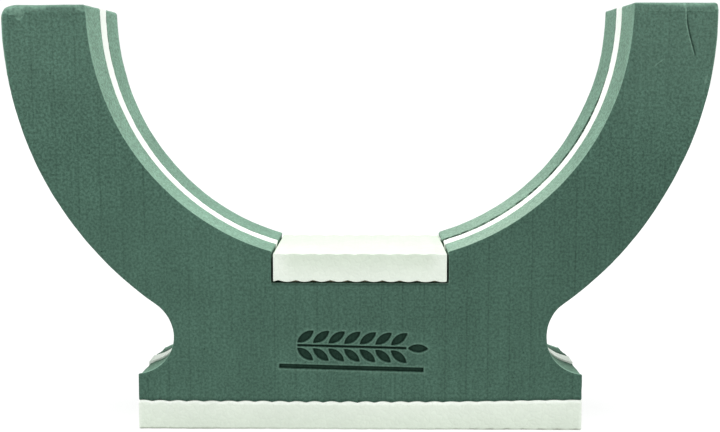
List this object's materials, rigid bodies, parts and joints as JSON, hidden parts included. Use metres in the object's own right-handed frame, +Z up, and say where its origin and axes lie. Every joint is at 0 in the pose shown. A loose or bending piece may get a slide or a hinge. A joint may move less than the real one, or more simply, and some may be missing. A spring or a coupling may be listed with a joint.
{
  "type": "floral foam urn crescent",
  "caption": "Free-standing double-sided floral foam crescent on a polystyrene plank, with a shelf between its arms for an urn.",
  "frame": {"origin": "on the ground, under the middle of the frame", "axes": "+X to the right seen from the front, +Y to the back, +Z up"},
  "size_m": [0.508, 0.1, 0.31],
  "materials": {
    "floral_foam": "matte, fine open cells",
    "polystyrene": "matte, hot-wire cut beads",
    "glue": "satin"
  },
  "bodies": {
    "root": {"front_foam_panel": "floral_foam", "back_foam_panel": "floral_foam", "core_board": "polystyrene", "base_plank": "polystyrene", "urn_platform": "polystyrene", "front_glue_film": "glue", "back_glue_film": "glue", "base_glue_film": "glue", "platform_glue_film": "glue"}
  },
  "joints": []
}
